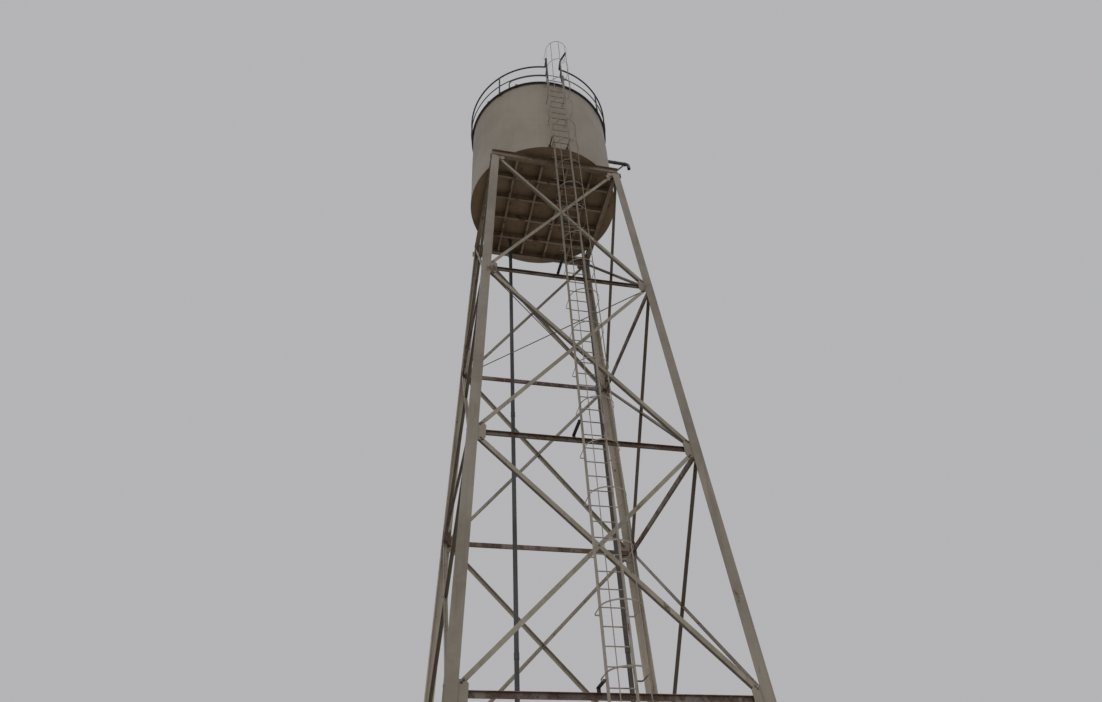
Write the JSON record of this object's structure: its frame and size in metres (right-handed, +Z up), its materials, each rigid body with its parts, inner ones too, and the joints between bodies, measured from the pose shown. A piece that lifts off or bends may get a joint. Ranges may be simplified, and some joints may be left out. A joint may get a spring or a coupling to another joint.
{
  "type": "elevated water tank tower",
  "caption": "Round steel water tank on a battered, X-braced four-legged lattice tower, with railing, caged ladder, supply pipe and overflow.",
  "frame": {"origin": "middle of the footprint at ground level, under the box that holds the whole tower", "axes": "+Z up; the caged ladder is on the -Y side; +X to the right seen from the ladder's side"},
  "size_m": [6.0292, 6.4774, 23.8829],
  "materials": {
    "tower_paint": "weathered cream paint",
    "rusty_channel": "stained cream paint, rusty",
    "joist_paint": "stained paint",
    "rusty_plate": "rusty, matte",
    "tank_paint": "weathered cream paint",
    "dark_rail": "dark, weathered",
    "ladder_paint": "weathered cream paint",
    "grey_pipe": "dull grey"
  },
  "bodies": {
    "root": {"brace_back_1": "tower_paint", "brace_back_2": "tower_paint", "brace_back_3": "tower_paint", "brace_back_4": "tower_paint", "brace_front_1": "tower_paint", "brace_front_2": "tower_paint", "brace_front_3": "tower_paint", "brace_front_4": "tower_paint", "brace_left_1": "tower_paint", "brace_left_2": "tower_paint", "brace_left_3": "tower_paint", "brace_left_4": "tower_paint", "brace_right_1": "tower_paint", "brace_right_2": "tower_paint", "brace_right_3": "tower_paint", "brace_right_4": "tower_paint", "cage_tank": "ladder_paint", "cage_tower_1": "ladder_paint", "cage_tower_2": "ladder_paint", "cage_tower_3": "ladder_paint", "cage_tower_4": "ladder_paint", "drain_pipe": "grey_pipe", "handhold": "dark_rail", "horizontal_back_1": "rusty_channel", "horizontal_back_2": "rusty_channel", "horizontal_back_3": "rusty_channel", "horizontal_front_1": "rusty_channel", "horizontal_front_2": "rusty_channel", "horizontal_front_3": "rusty_channel", "horizontal_left_1": "rusty_channel", "horizontal_left_2": "rusty_channel", "horizontal_left_3": "rusty_channel", "horizontal_right_1": "rusty_channel", "horizontal_right_2": "rusty_channel", "horizontal_right_3": "rusty_channel", "joist_grid": "joist_paint", "kerb_ring": "dark_rail", "leg_back_left": "tower_paint", "leg_back_right": "tower_paint", "leg_front_left": "tower_paint", "leg_front_right": "tower_paint", "overflow_pipe": "dark_rail", "plan_rods": "rusty_channel", "railing_left": "dark_rail", "railing_right": "dark_rail", "supply_pipe": "grey_pipe", "tank_floor": "rusty_plate", "tank_ladder": "ladder_paint", "tank_roof": "tank_paint", "tank_wall": "tank_paint", "top_beam_back": "tower_paint", "top_beam_front": "tower_paint", "top_beam_left": "tower_paint", "top_beam_right": "tower_paint", "tower_ladder": "ladder_paint"}
  },
  "joints": []
}
